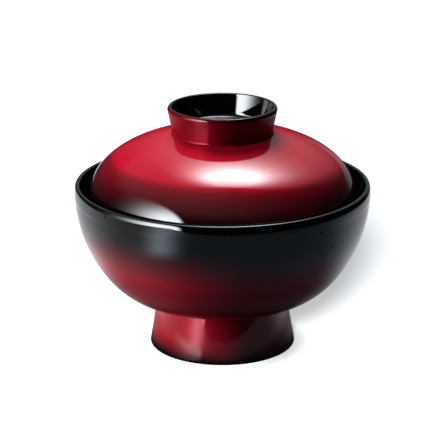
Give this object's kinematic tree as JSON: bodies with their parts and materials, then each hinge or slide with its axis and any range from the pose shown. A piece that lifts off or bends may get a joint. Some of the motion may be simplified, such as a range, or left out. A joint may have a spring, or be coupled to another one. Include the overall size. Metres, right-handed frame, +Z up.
{
  "type": "lidded soup bowl",
  "caption": "Round glossy soup bowl on a tall flared foot, with a domed lid that drops inside the lip onto a step and lifts off by a cup-shaped knob.",
  "frame": {"origin": "centre of the foot's base, on the surface that the bowl stands on", "axes": "+Z up along the axis that every piece is turned about; X and Y are alike"},
  "size_m": [0.1216, 0.1215, 0.1013],
  "materials": {
    "black_lacquer": "deep black gloss, shading to dark red on the underside",
    "red_lacquer": "glossy vermilion, shading to black at the lid's rim and the foot's base"
  },
  "bodies": {
    "bowl": {"bowl_shell": "black_lacquer", "foot_ring": "red_lacquer"},
    "lid": {"lid_shell": "red_lacquer", "lid_knob": "red_lacquer"}
  },
  "joints": [
    {"name": "lid_lift", "type": "slide", "parent": "bowl", "child": "lid", "axis": [0, 0, 1], "range_m": [0, 0.1]}
  ]
}
